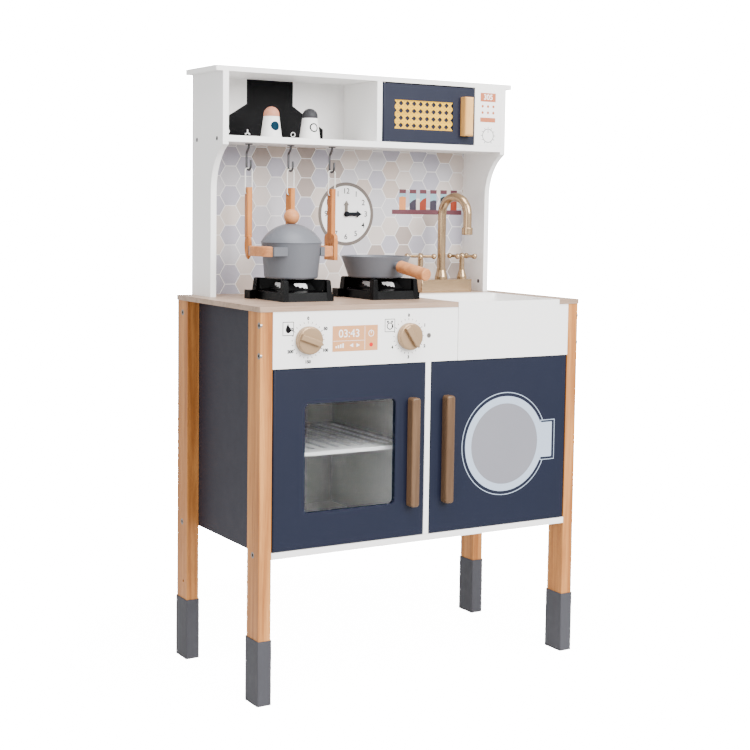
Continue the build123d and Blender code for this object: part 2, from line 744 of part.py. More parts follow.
def burner(x0):
    """Moulded ring: walled base, ledge, steep-sided crown, corner posts and crossed fins."""
    mid_x = x0 + BURNER_W / 2
    mid_y = yb(BURNER_FRONT - BURNER_D / 2)
    top = WORKTOP_Z + BURNER_H
    sizes = [(0.0, BURNER_W, BURNER_D), (WALL_H, BURNER_W - 4, BURNER_D - 4)]
    sizes += [(LEDGE_H, *LEDGE), (CROWN_H, *CROWN)]
    outlines = [Pos(mid_x, mid_y, WORKTOP_Z + z) * Rectangle(w, d) for z, w, d in sizes]
    body = loft(outlines[0:2]) + loft(outlines[1:3]) + loft(outlines[2:4])
    body += Pos(mid_x, mid_y, WORKTOP_Z + 4) * Cylinder(HUB_R, BURNER_H - 4, align=BOTTOM)
    reach_x = BURNER_W / 2 - POST[0] / 2
    reach_y = BURNER_D / 2 - POST[1] / 2
    turn = math.degrees(math.atan2(reach_y, reach_x))
    for sx in (-1, 1):
        for sy in (-1, 1):
            low = Pos(mid_x + sx * reach_x, mid_y + sy * reach_y, WORKTOP_Z) * Rectangle(*POST)
            inset = POST_LEAN / 2
            high = Pos(mid_x + sx * (reach_x - inset), mid_y + sy * (reach_y - inset), top)
            post = loft([low, high * Rectangle(POST[0] - POST_LEAN, POST[1] - POST_LEAN)])
            body += fillet(post.edges().group_by(Axis.Z)[-1], POST_ROUND)
    for sign in (-1, 1):
        arm = Box(2 * math.hypot(reach_x, reach_y) - 2 * POST_LEAN, ARM_W, ARM_T)
        body += Pos(mid_x, mid_y, top - ARM_T / 2) * Rot(0, 0, sign * turn) * arm
    rear = BURNER_FRONT - BURNER_D
    right = x0 + BURNER_W
    body += slab((x0 - LUG_OUT[0], x0 + 6), (rear, rear + 20), (WORKTOP_Z, WORKTOP_Z + LUG_H))
    lug_d = (BURNER_FRONT - 26, BURNER_FRONT - 8)
    return body + slab((right - 6, right + LUG_OUT[1]), lug_d, (WORKTOP_Z, WORKTOP_Z + LUG_H - 3))


PAN_Z = WORKTOP_Z + BURNER_H + LIFT_GAP


def pot():
    x, depth = POT_XY
    shell = Cone(POT_R[0], POT_R[1], POT_H, align=BOTTOM)
    shell = fillet(shell.edges().sort_by(Axis.Z)[0], 4.0)
    for side in (-1, 1):
        for way in (-1, 1):
            middle = (EAR_Z[0] + EAR_Z[1]) / 2 - PAN_Z
            reach = EAR_BOSS_X[0] if side < 0 else EAR_BOSS_X[1]
            lug = Pos(side * (reach + 32) / 2, way * 30.5, middle) * Box(reach - 32, EAR_T, 14)
            shell += lug
    inner = Pos(0, 0, 3) * Cone(POT_R[0] - POT_WALL, POT_R[1] - POT_WALL, POT_H, align=BOTTOM)
    return Pos(x, yb(depth), PAN_Z) * Rot(0, 0, POT_TURN) * (shell - inner)


def ear(boss_x):
    outer = Pos(EAR_REACH / 2, 0) * Rectangle(EAR_REACH, 2 * EAR_HALF)
    outer = fillet(outer.vertices().sort_by(Axis.X)[-2:], 24.0)
    inside = EAR_REACH - EAR_T
    inner = Pos(inside / 2, 0) * Rectangle(inside, 2 * (EAR_HALF - EAR_T))
    inner = fillet(inner.vertices().sort_by(Axis.X)[-2:], 13.0)
    keep = outer - inner - Pos(boss_x / 2, 0) * Rectangle(boss_x, 4 * EAR_HALF)
    loop = extrude(keep, amount=EAR_Z[1] - EAR_Z[0])
    return fillet(loop.edges().group_by(Axis.Z)[-1], 2.0)


def pot_grips():
    x, depth = POT_XY
    place = Pos(x, yb(depth), EAR_Z[0]) * Rot(0, 0, POT_TURN)
    return group([place * ear(EAR_BOSS_X[1]), place * Rot(0, 0, 180) * ear(EAR_BOSS_X[0])])


LID_Z = PAN_Z + POT_H + LIFT_GAP
LID_R = POT_R[1] + 1.0
LID_SPHERE = (LID_R**2 + LID_H**2) / (2 * LID_H)
LID_FLAT = 0.5


def lid():
    x, depth = POT_XY
    centre = LID_H - LID_SPHERE
    above = Box(200, 200, LID_H - LID_FLAT, align=BOTTOM)
    dome = (Pos(0, 0, centre) * Sphere(LID_SPHERE)) & above
    hollow = (Pos(0, 0, centre - 0.5) * Sphere(LID_SPHERE - LID_WALL)) & Box(200, 200, LID_H, align=BOTTOM)
    dome -= hollow
    ring = Cylinder(POT_R[1] - POT_WALL - 0.9, 6) - Cylinder(POT_R[1] - POT_WALL - 3.0, 6)
    return Pos(x, yb(depth), LID_Z) * (dome + Pos(0, 0, -1) * ring)


def lid_knob():
    x, depth = POT_XY
    base = LID_Z + LID_H - LID_FLAT
    ball = Pos(0, 0, LID_KNOB_R - 1.2) * Sphere(LID_KNOB_R)
    ball &= Box(60, 60, 60, align=BOTTOM)
    return Pos(x, yb(depth), base) * ball


def pan_axis(distance, shape):
    """Place a part that stands on local +Z along the drooping pan handle."""
    x, depth = PAN_XY
    heading = math.radians(PAN_GRIP_TURN)
    droop = math.radians(PAN_GRIP_DROOP)
    flat = distance
    origin = (
        x + flat * math.cos(heading),
        yb(depth) + flat * math.sin(heading),
        PAN_GRIP_Z - (flat - PAN_GRIP_START) * math.tan(droop),
    )
    way = (
        math.cos(heading) * math.cos(droop),
        math.sin(heading) * math.cos(droop),
        -math.sin(droop),
    )
    return Plane(origin=origin, z_dir=way).location * shape


def pan():
    x, depth = PAN_XY
    dish = Cone(PAN_R[0], PAN_R[1], PAN_H, align=BOTTOM)
    dish = fillet(dish.edges().sort_by(Axis.Z)[0], 4.0)
    dish = Pos(x, yb(depth), PAN_Z) * dish
    tang = Cone(7.5, 5.0, PAN_TANG / math.cos(math.radians(PAN_GRIP_DROOP)), align=BOTTOM)
    dish += pan_axis(PAN_GRIP_START - PAN_TANG, tang)
    inner = Cone(PAN_R[0] - POT_WALL, PAN_R[1] - POT_WALL, PAN_H, align=BOTTOM)
    return dish - Pos(x, yb(depth), PAN_Z + 3) * inner


def pan_grip():
    grip = Cylinder(PAN_GRIP_R, PAN_GRIP_L, align=BOTTOM)
    return pan_axis(PAN_GRIP_START, fillet(grip.edges().filter_by(GeomType.CIRCLE), 2.0))


# ---------------------------------------------------------------- shakers


def shaker(x):
    """Turned shaker: tapered body under a domed top."""
    body = Cone(SHAKER_R[0], SHAKER_R[1], SHAKER_BODY_H, align=BOTTOM)
    body = fillet(body.edges().sort_by(Axis.Z)[0], 1.5)
    straight = SHAKER_CAP_H - SHAKER_R[1]
    cap_top = Pos(0, 0, SHAKER_BODY_H) * Cylinder(SHAKER_R[1], straight, align=BOTTOM)
    dome = Sphere(SHAKER_R[1]) & Box(60, 60, 60, align=BOTTOM)
    cap_top += Pos(0, 0, SHAKER_BODY_H + straight) * dome
    return Pos(x, yb(SHAKER_D), SHELF_TOP + LIFT_GAP) * (body + cap_top)


def left(shape):
    return shape.mirror(Plane.YZ)


def build():
    front_leg = leg(FRONT_LEG_D, FRONT_BOLTS)
    rear_leg = back_leg()
    return {
        "leg_front_left": left(front_leg),
        "leg_front_right": front_leg,
        "leg_back_left": left(rear_leg),
        "leg_back_right": rear_leg,
        "leg_caps": leg_caps(),
        "leg_bolts": leg_bolts(),
        "worktop": worktop(),
        "side_panel_left": left(side_panel()),
        "side_panel_right": side_panel(),
        "lower_back": lower_back(),
        "bottom_board": bottom_board(),
        "centre_divider": centre_divider(),
        "oven_shelf": oven_shelf(),
        "control_panel": control_panel(),
        "control_strip": control_strip(),
        "panel_fixing": panel_fixing(),
        "sink": sink(),
        "door_pins": door_pins(),
        "oven_door": oven_door(),
        "oven_window": oven_window(),
        "oven_handle": bar_handle(OVEN_HANDLE_X),
        "washer_door": washer_door(),
        "washer_handle": bar_handle(WASHER_HANDLE_X),
        "knob_left": knob(KNOB_X[0], KNOB_TURN[0]),
        "knob_right": knob(KNOB_X[1], KNOB_TURN[1]),
        "hutch_side_left": left(hutch_side()),
        "hutch_side_right": hutch_side(),
        "hutch_screws": hutch_screws(),
        "hutch_top": hutch_top(),
        "hutch_shelf": hutch_shelf(),
        "cubby_divider": cubby_divider(),
        "microwave_fascia": microwave_fascia(),
        "backsplash": backsplash(),
        "microwave_door": microwave_door(),
        "cane_panel": cane_panel(),
        "microwave_handle": microwave_handle(),
        "clock_pin": clock_pin(),
        "hour_hand": hour_hand(),
        "minute_hand": minute_hand(),
        "hooks": hooks(),
        "spoon": spoon(),
        "fork_spatula": fork_spatula(),
        "turner": turner(),
        "spoon_cord": cord(HOOK_X[0]),
        "fork_spatula_cord": cord(HOOK_X[1]),
        "turner_cord": cord(HOOK_X[2]),
        "tap_block": tap_block(),
        "spout": spout(),
        "tap_left": cross_tap(CROSS_X[0], CROSS_TURN[0]),
        "tap_right": cross_tap(CROSS_X[1], CROSS_TURN[1]),
        "burner_left": burner(BURNER_X[0]),
        "burner_right": burner(BURNER_X[1]),
        "pot": pot(),
        "pot_grips": pot_grips(),
        "lid": lid(),
        "lid_knob": lid_knob(),
        "pan": pan(),
        "pan_grip": pan_grip(),
        "shaker_left": shaker(SHAKER_X[0]),
        "shaker_right": shaker(SHAKER_X[1]),
    }


os.makedirs("parts", exist_ok=True)
for name, shape in build().items():
    export_step(shape, f"parts/{name}.step")
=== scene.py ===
import math
import random

import bmesh
import bpy
from mathutils import Matrix, Vector


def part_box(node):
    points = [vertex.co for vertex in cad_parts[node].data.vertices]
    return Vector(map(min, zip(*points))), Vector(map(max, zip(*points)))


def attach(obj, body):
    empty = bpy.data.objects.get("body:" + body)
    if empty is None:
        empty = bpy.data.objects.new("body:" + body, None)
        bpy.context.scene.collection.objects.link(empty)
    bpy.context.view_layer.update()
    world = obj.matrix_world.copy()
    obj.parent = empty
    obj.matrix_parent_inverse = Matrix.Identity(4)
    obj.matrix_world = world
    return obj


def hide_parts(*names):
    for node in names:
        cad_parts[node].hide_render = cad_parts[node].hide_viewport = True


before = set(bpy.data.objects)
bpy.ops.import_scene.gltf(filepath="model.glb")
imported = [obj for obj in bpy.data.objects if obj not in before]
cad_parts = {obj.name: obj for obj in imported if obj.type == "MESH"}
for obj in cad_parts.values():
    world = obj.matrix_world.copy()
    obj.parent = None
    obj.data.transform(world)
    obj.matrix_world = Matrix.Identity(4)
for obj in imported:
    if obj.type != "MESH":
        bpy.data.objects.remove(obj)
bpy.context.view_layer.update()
random.seed(7)

MM = 0.001
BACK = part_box("worktop")[1].y
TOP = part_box("worktop")[1].z
PANEL_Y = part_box("control_panel")[0].y
DOOR_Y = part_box("washer_door")[0].y
SPLASH_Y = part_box("backsplash")[0].y
FASCIA_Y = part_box("microwave_fascia")[0].y
SHELF_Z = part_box("hutch_shelf")[1].z
INK = 0.1 * MM  # thickness of one printed layer

# Measures of the prints and turned pieces, in millimetres
TILE_FLAT = 33.0
TILE_GROUT = 1.3
CLOCK_FACE_R = 54.0
CLOCK_R = 55.5
CLOCK_RIM = 6.0
CLOCK_DIGIT_R = 40.0
JAR_HALF = 7.0
JAR_FOOT = 751.6
JAR_TOP = 781.0
JAR_CAP = 7.0
DIAL_TICK_R = 27.0
DIAL_DIGIT_RX, DIAL_DIGIT_RZ = 34.5, 33.0
FRAME_LINE = 0.9
DRUM = (150.9, 369.2)
MICROWAVE_DIAL = (237.0, 884.0)
CANE_STEP_X, CANE_STEP_Z = 13.2, 12.4
CANE_PAIR = 1.2
CANE_HALF = 0.95
SHAKER_BODY = ((16.0, 0), (17.1, 0.8), (17.3, 2), (15.1, 18), (13.05, 34), (13.0, 34.8))
SHAKER_R, SHAKER_TAPER = 17.3, 0.1333
BADGE_Z = 19.0
CORD_R = 1.1
CORD_BEND = 10.0


# ---------------------------------------------------------------- camera and light

def make_camera():
    """Camera at the reference viewing angle: yaw from +Y towards +X, pitch, roll."""
    yaw, pitch, roll = (math.radians(a) for a in (31.97, -4.66, 0.88))
    ahead = Vector((math.sin(yaw) * math.cos(pitch), math.cos(yaw) * math.cos(pitch), math.sin(pitch)))
    right = ahead.cross(Vector((0, 0, 1))).normalized()
    up = right.cross(ahead)
    r = right * math.cos(roll) + up * math.sin(roll)
    u = up * math.cos(roll) - right * math.sin(roll)
    cam = bpy.data.objects.new("camera", bpy.data.cameras.new("camera"))
    cam.data.lens = 69.77
    cam.data.sensor_width = 36
    cam.data.shift_x = -0.04
    cam.data.shift_y = -0.0667
    cam.data.clip_end = 50
    turn = Matrix((r, u, -ahead)).transposed().to_4x4()
    cam.matrix_world = Matrix.Translation((-1.25095, BACK - 2.23975, 0.75733)) @ turn
    bpy.context.scene.collection.objects.link(cam)
    bpy.context.scene.camera = cam


def area(name, place, target, size, power):
    """Square soft light aimed at a point."""
    light = bpy.data.lights.new(name, "AREA")
    light.energy = power
    light.size = size
    obj = bpy.data.objects.new(name, light)
    obj.location = place
    obj.rotation_euler = (Vector(target) - Vector(place)).to_track_quat("-Z", "Y").to_euler()
    bpy.context.scene.collection.objects.link(obj)


def background(world):
    """The backdrop reads as plain white while the room light stays soft."""
    tree = world.node_tree
    seen = tree.nodes.new("ShaderNodeBackground")
    seen.inputs[0].default_value = (1, 1, 1, 1)
    seen.inputs[1].default_value = 30.0
    ray = tree.nodes.new("ShaderNodeLightPath")
    mix = tree.nodes.new("ShaderNodeMixShader")
    tree.links.new(ray.outputs["Is Camera Ray"], mix.inputs[0])
    tree.links.new(tree.nodes["Background"].outputs[0], mix.inputs[1])
    tree.links.new(seen.outputs[0], mix.inputs[2])
    tree.links.new(mix.outputs[0], tree.nodes["World Output"].inputs[0])


def make_light():
    """Even white room with a key, a top and a fill light."""
    world = bpy.data.worlds.new("studio")
    bpy.context.scene.world = world
    world.use_nodes = True
    back = world.node_tree.nodes["Background"]
    back.inputs[0].default_value = (1, 1, 1, 1)
    back.inputs[1].default_value = 1.1
    area("key", (0.9, -3.3, 2.3), (0, 0, 0.6), 2.4, 330)
    area("top", (-0.3, -0.9, 3.4), (0, 0, 0.6), 2.0, 150)
    area("fill", (-3.2, -1.8, 1.3), (0, 0, 0.6), 2.0, 38)
    background(world)


# ---------------------------------------------------------------- materials

def shader(name, rough, metallic=0.0, specular=0.25):
    """Plain material and its surface node."""
    m = bpy.data.materials.new(name)
    m.use_nodes = True
    bsdf = m.node_tree.nodes["Principled BSDF"]
    bsdf.inputs["Roughness"].default_value = rough
    bsdf.inputs["Metallic"].default_value = metallic
    bsdf.inputs["Specular IOR Level"].default_value = specular
    return m, bsdf


def noise(m, scale, detail, stretch=(1, 1, 1), distortion=0.0):
    """Noise in the object's own coordinates."""
    t = m.node_tree
    at = t.nodes.new("ShaderNodeTexCoord")
    fit = t.nodes.new("ShaderNodeMapping")
    fit.inputs["Scale"].default_value = stretch
    tex = t.nodes.new("ShaderNodeTexNoise")
    tex.inputs["Scale"].default_value = scale
    tex.inputs["Detail"].default_value = detail
    tex.inputs["Distortion"].default_value = distortion
    t.links.new(at.outputs["Object"], fit.inputs["Vector"])
    t.links.new(fit.outputs["Vector"], tex.inputs["Vector"])
    return tex.outputs["Fac"]


def ramp(m, source, stops):
    """Colour from a value, by (position, colour) stops."""
    node = m.node_tree.nodes.new("ShaderNodeValToRGB")
    for element, (place, colour) in zip(node.color_ramp.elements, (stops[0], stops[-1])):
        element.position = place
        element.color = (*colour, 1)
    for at, colour in stops[1:-1]:
        node.color_ramp.elements.new(at).color = (*colour, 1)
    m.node_tree.links.new(source, node.inputs["Fac"])
    return node.outputs["Color"]


def bump(m, bsdf, source, strength, distance):
    """Surface relief from a value."""
    node = m.node_tree.nodes.new("ShaderNodeBump")
    node.inputs["Strength"].default_value = strength
    node.inputs["Distance"].default_value = distance
    m.node_tree.links.new(source, node.inputs["Height"])
    m.node_tree.links.new(node.outputs["Normal"], bsdf.inputs["Normal"])


def rough_range(m, bsdf, source, low, high):
    """Uneven gloss from a value."""
    node = m.node_tree.nodes.new("ShaderNodeMapRange")
    node.inputs["To Min"].default_value = low
    node.inputs["To Max"].default_value = high
    m.node_tree.links.new(source, node.inputs["Value"])
    m.node_tree.links.new(node.outputs["Result"], bsdf.inputs["Roughness"])


def shade(colour, k):
    """Colour made lighter or darker by a factor."""
    return tuple(min(1.0, c * k) for c in colour)


def painted(
    name, colour, rough=0.42, vary=0.04, grain=900, lift=0.00006, metallic=0.0, specular=0.25,
):
    """Sprayed paint: slight colour drift, orange-peel bump and uneven gloss."""
    m, bsdf = shader(name, rough, metallic, specular)
    tone = ramp(m, noise(m, 9, 3), [(0.3, shade(colour, 1 - vary)), (0.7, shade(colour, 1 + vary))])
    m.node_tree.links.new(tone, bsdf.inputs["Base Color"])
    peel = noise(m, grain, 2)
    bump(m, bsdf, peel, 0.25, lift)
    rough_range(m, bsdf, noise(m, 40, 3), rough - 0.05, rough + 0.07)
    return m


def timber(name, light, dark, along, rough=0.4, fine=1.0, contrast=1.0):
    """Wood with broad growth bands and fine fibres running along one axis."""
    m, bsdf = shader(name, rough)
    squeeze = {"x": (0.05, 1, 1), "y": (1, 0.05, 1), "z": (1, 1, 0.05)}[along]
    broad = noise(m, 55 * fine, 4, squeeze, 0.8)
    fibre = noise(m, 700 * fine, 6, squeeze)
    mid = tuple((a + b) / 2 for a, b in zip(light, dark))
    spread = 0.16 / contrast
    tone = ramp(m, broad, [(0.5 - spread, dark), (0.5, mid), (0.5 + spread, light)])
    mix = m.node_tree.nodes.new("ShaderNodeMix")
    mix.data_type = "RGBA"
    mix.blend_type = "MULTIPLY"
    mix.inputs["Factor"].default_value = 0.5
    thread = ramp(m, fibre, [(0.35, (0.72, 0.66, 0.6)), (0.6, (1, 1, 1))])
    m.node_tree.links.new(tone, mix.inputs["A"])
    m.node_tree.links.new(thread, mix.inputs["B"])
    m.node_tree.links.new(mix.outputs["Result"], bsdf.inputs["Base Color"])
    bump(m, bsdf, fibre, 0.2, 0.0001)
    return m


def clear(name):
    """Clear pane that barely bends what is behind it."""
    m, bsdf = shader(name, 0.04)
    bsdf.inputs["Transmission Weight"].default_value = 1.0
    bsdf.inputs["IOR"].default_value = 1.08
    bsdf.inputs["Base Color"].default_value = (0.95, 0.97, 0.98, 1)
    return m


NAVY = painted("navy_paint", (0.0022, 0.0045, 0.0170), 0.5)
# Side panels: a second copy of the one navy paint, lighter and greyer than NAVY, set to how the shaded sides
# look; its difference from the doors' navy is painted light and shade
SHADE_MATCHED_NAVY = painted("shade_matched_navy", (0.0155, 0.0155, 0.025), 0.5)
WHITE = painted("white_paint", (0.89, 0.88, 0.865), 0.42, 0.01)
GREY_CAP = painted("cap_plastic", (0.046, 0.046, 0.053), 0.6, 0.06, 1600, 0.00012)
CHAMPAGNE = painted("champagne", (0.41, 0.28, 0.16), 0.2, 0.02, 1500, 0.00001, 0.85, 0.6)
KNOB_GOLD = painted("knob_gold", (0.36, 0.24, 0.14), 0.36, 0.02, 1500, 0.00002, 0.6)
BRONZE = timber("bronze_paint", (0.135, 0.078, 0.042), (0.085, 0.048, 0.026), "z", 0.34, 1.2)
HOB = painted("hob_black", (0.0006, 0.0006, 0.0008), 0.3, 0.1, 1500, 0.00008, specular=0.07)
PAN_GREY = painted("pan_grey", (0.115, 0.12, 0.135), 0.4, 0.05, 1500, 0.00006, 0.1)
STEEL = painted("steel", (0.27, 0.25, 0.23), 0.3, 0.08, 1500, 0.00004, 0.9)
DARK_STEEL = painted("dark_steel", (0.10, 0.10, 0.105), 0.3, 0.08, 1500, 0.00004, 0.9)
DARK = painted("hand_black", (0.004, 0.005, 0.008), 0.5, specular=0.1)
PEACH_BODY = painted("shaker_peach", (0.50, 0.21, 0.13), 0.5, 0.05)
GREY_BODY = painted("shaker_grey", (0.03, 0.03, 0.034), 0.5, 0.05)
SHAKER_WHITE = painted("shaker_white", (0.78, 0.77, 0.76), 0.5, 0.02)
PINE = timber("pine", (0.55, 0.235, 0.065), (0.31, 0.11, 0.025), "z", 0.42)
VENEER = timber("worktop_veneer", (0.41, 0.29, 0.215), (0.31, 0.215, 0.155), "x", 0.4, 0.8)
BEECH = timber("beech", (0.60, 0.23, 0.06), (0.44, 0.145, 0.033), "z", 0.4, 1.6)
LIGHT_WOOD = timber("light_wood", (0.60, 0.255, 0.10), (0.44, 0.17, 0.065), "x", 0.4, 1.6)
LIGHT_WOOD_Z = timber("light_wood_upright", (0.74, 0.42, 0.14), (0.58, 0.29, 0.08), "z", 0.4, 1.6)
CANE = timber("cane", (0.90, 0.52, 0.015), (0.70, 0.38, 0.01), "x", 0.5, 2.0)
CLEAR = clear("clear_pane")
CORD_WHITE = painted("cord_white", (0.78, 0.77, 0.73), 0.85, 0.06, 1800, 0.0003)
GROUT = painted("grout", (0.78, 0.765, 0.75), 0.5, 0.02)
TILES = [
    painted("tile_lavender", (0.40, 0.39, 0.45), 0.4, 0.03),
    painted("tile_mist", (0.50, 0.49, 0.52), 0.4, 0.03),
    painted("tile_sand", (0.50, 0.42, 0.37), 0.4, 0.03),
    painted("tile_taupe", (0.36, 0.30, 0.27), 0.4, 0.03),
    painted("tile_cream", (0.58, 0.52, 0.48), 0.4, 0.03),
]
PRINT_BLACK = painted("print_black", (0.0015, 0.0015, 0.002), 0.5, specular=0.08)
PRINT_WHITE = painted("print_white", (0.88, 0.88, 0.88), 0.45, 0.01)
PRINT_PEACH = painted("print_peach", (0.58, 0.27, 0.12), 0.45, 0.02)
PRINT_RED = painted("print_red", (0.58, 0.002, 0.002), 0.45)
DRUM_GREY = painted("drum_grey", (0.195, 0.195, 0.22), 0.45, 0.02)
DRUM_RING = painted("drum_ring", (0.36, 0.43, 0.53), 0.45, 0.02)
GLASS_BLUE = painted("glass_blue", (0.24, 0.40, 0.47), 0.3, 0.02)
PRINT_TEAL = painted("print_teal", (0.001, 0.018, 0.036), 0.5, specular=0.05)
PRINT_RUST = painted("print_rust", (0.44, 0.13, 0.055), 0.45, 0.02)
SPICES = [
    painted("spice_ochre", (0.60, 0.22, 0.07), 0.45),
    painted("spice_slate", (0.035, 0.028, 0.045), 0.45),
    painted("spice_rust", (0.26, 0.035, 0.012), 0.45),
    painted("spice_black", (0.004, 0.004, 0.006), 0.45),
]
SPICE_BAR = painted("spice_bar", (0.11, 0.035, 0.045), 0.45)
CLOCK_RING = painted("clock_ring", (0.13, 0.11, 0.095), 0.45)
HAND_GREY = painted("hand_grey", (0.15, 0.13, 0.11), 0.45)


NODE_LOOKS = {
    # the side panels take the shade-matched copy of the navy paint: painted light and shade, not a second
    # paint
    SHADE_MATCHED_NAVY: ["side_panel_left", "side_panel_right"],
    NAVY: ["oven_door", "washer_door", "microwave_door"],
    WHITE: [
        "lower_back", "bottom_board", "centre_divider", "oven_shelf", "control_panel", "control_strip",
        "sink", "hutch_side_left", "hutch_side_right", "hutch_top", "hutch_shelf", "cubby_divider",
        "microwave_fascia",
    ],
    PINE: ["leg_front_left", "leg_front_right", "leg_back_left", "leg_back_right"],
    GREY_CAP: ["leg_caps"],
    STEEL: ["panel_fixing", "door_pins", "leg_bolts"],
    DARK_STEEL: ["hooks", "hutch_screws"],
    VENEER: ["worktop"],
    CLEAR: ["oven_window"],
    BRONZE: ["oven_handle", "washer_handle"],
    KNOB_GOLD: ["knob_left", "knob_right"],
    CHAMPAGNE: ["tap_block", "spout", "tap_left", "tap_right"],
    GROUT: ["backsplash"],
    CANE: ["cane_panel"],
    LIGHT_WOOD: ["pot_grips", "lid_knob", "pan_grip"],
    LIGHT_WOOD_Z: ["microwave_handle"],
    DARK: ["clock_pin", "minute_hand"],
    HAND_GREY: ["hour_hand"],
    BEECH: ["spoon", "fork_spatula", "turner"],
    HOB: ["burner_left", "burner_right"],
    PAN_GREY: ["pot", "lid", "pan"],
    SHAKER_WHITE: ["shaker_left", "shaker_right"],
}
SOFT_EDGES = [
    "side_panel_left", "side_panel_right", "lower_back", "bottom_board", "centre_divider", "oven_shelf",
    "control_panel", "control_strip", "hutch_side_left", "hutch_side_right", "hutch_top", "hutch_shelf",
    "cubby_divider", "microwave_fascia", "worktop", "burner_left", "burner_right", "leg_caps", "sink",
    "oven_door", "washer_door", "microwave_door", "tap_block",
]


def dress_nodes():
    """Give every CAD node its look, and the boards a soft edge."""
    for look, names in NODE_LOOKS.items():
        for name in names:
            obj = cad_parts[name]
            obj.data.materials.clear()
            obj.data.materials.append(look)
            for face in obj.data.polygons:
                face.material_index = 0
    for name in SOFT_EDGES:
        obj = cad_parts[name]
        weld = obj.modifiers.new("weld", "WELD")
        weld.merge_threshold = 0.00002
        soft = obj.modifiers.new("soft_edge", "BEVEL")
        soft.width = 0.0006
        soft.segments = 2
        soft.limit_method = "ANGLE"
        soft.angle_limit = math.radians(50)
        soft.harden_normals = True


# ---------------------------------------------------------------- prints

def circle(cx, cz, r, n=64):
    """Round outline in x and z."""
    steps = [2 * math.pi * i / n for i in range(n)]
    return [(cx + r * math.cos(a), cz + r * math.sin(a)) for a in steps]


def rect(x0, z0, x1, z1):
    """Upright rectangle in x and z."""
    return [(x0, z0), (x1, z0), (x1, z1), (x0, z1)]


def turned_rect(cx, cz, length, width, degrees):
    """Rectangle about a centre, turned from the x axis."""
    c, s = math.cos(math.radians(degrees)), math.sin(math.radians(degrees))
    u, v = length / 2, width / 2
    corners = [(-u, -v), (u, -v), (u, v), (-u, v)]
    return [(cx + a * c - b * s, cz + a * s + b * c) for a, b in corners]


def finish_mesh(bm, name, look, body):
    """Put a built mesh in the scene, on its body."""
    bmesh.ops.recalc_face_normals(bm, faces=bm.faces)
    mesh = bpy.data.meshes.new(name)
    bm.to_mesh(mesh)
    bm.free()
    mesh.materials.append(look)
    obj = bpy.data.objects.new(name, mesh)
    bpy.context.scene.collection.objects.link(obj)
    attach(obj, body)
    return obj


def prism(bm, outline, face_y, thick):
    """Thin closed print on a plane that faces the front; outline in millimetres of x and z."""
    front = [bm.verts.new((x * MM, face_y - thick, z * MM)) for x, z in outline]
    rear = [bm.verts.new((x * MM, face_y, z * MM)) for x, z in outline]
    bm.faces.new(front)
    bm.faces.new(list(reversed(rear)))
    count = len(outline)
    for i in range(count):
        j = (i + 1) % count
        bm.faces.new((front[i], rear[i], rear[j], front[j]))


def band(bm, outer, inner, face_y, thick):
    """Thin closed print between two outlines with the same number of points."""
    rings = []
    for line in (outer, inner):
        for y in (face_y - thick, face_y):
            rings.append([bm.verts.new((x * MM, y, z * MM)) for x, z in line])
    of, ob, nf, nb = rings
    count = len(outer)
    for i in range(count):
        j = (i + 1) % count
        for a, b in ((of, nf), (nf, nb), (nb, ob), (ob, of)):
            bm.faces.new((a[i], b[i], b[j], a[j]))


def printed(name, look, body, face_y, outlines=(), bands=(), layer=1):
    """Flat print of filled outlines and open bands on a front face."""
    bm = bmesh.new()
    for outline in outlines:
        prism(bm, outline, face_y, INK * layer)
    for outer, inner in bands:
        band(bm, outer, inner, face_y, INK * layer)
    finish_mesh(bm, name, look, body)


def lettering(name, text, look, body, x, z, size, face_y, layer=2, weight=0.12):
    """Numerals drawn flat on a front face."""
    curve = bpy.data.curves.new(name + "_curve", "FONT")
    curve.body = text
    curve.size = size * MM
    curve.align_x = "CENTER"
    curve.align_y = "CENTER"
    curve.extrude = INK / 2
    curve.offset = weight * MM
    maker = bpy.data.objects.new(name + "_maker", curve)
    bpy.context.scene.collection.objects.link(maker)
    bpy.context.view_layer.update()
    graph = bpy.context.evaluated_depsgraph_get()
    mesh = bpy.data.meshes.new_from_object(maker.evaluated_get(graph))
    bpy.data.objects.remove(maker)
    upright = Matrix.Rotation(math.pi / 2, 4, "X")
    mesh.transform(Matrix.Translation((x * MM, face_y - INK * layer, z * MM)) @ upright)
    mesh.materials.clear()
    mesh.materials.append(look)
    obj = bpy.data.objects.new(name, mesh)
    bpy.context.scene.collection.objects.link(obj)
    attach(obj, body)


def centre_of(node):
    """Middle of a CAD node in millimetres."""
    low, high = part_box(node)
    return (low + high) / 2 / MM


def make_tiles():
    """Flat-topped hexagons over the backsplash between worktop and shelf."""
    side = TILE_FLAT / math.sqrt(3)
    low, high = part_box("backsplash")
    x0, x1 = low.x / MM, high.x / MM
    z0, z1 = TOP / MM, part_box("hutch_shelf")[0].z / MM
    groups = [[] for _ in TILES]
    r = side - TILE_GROUT / math.sqrt(3)
    turns = [math.radians(60 * k) for k in range(6)]
    column = 0
    x = x0
    while x < x1 + side:
        z = z0 + (TILE_FLAT / 2 if column % 2 else 0)
        while z < z1 + TILE_FLAT:
            corners = [(x + r * math.cos(a), z + r * math.sin(a)) for a in turns]
            cut = clip(corners, x0 + 0.3, x1 - 0.3, z0 + 0.3, z1 - 0.3)
            if len(cut) > 2:
                groups[random.choice((0, 0, 1, 1, 2, 3, 4, 4))].append(cut)
            z += TILE_FLAT
        x += side * 1.5
        column += 1
    for i, outlines in enumerate(groups):
        printed(f"tiles_{i}", TILES[i], "cabinet", SPLASH_Y, outlines)


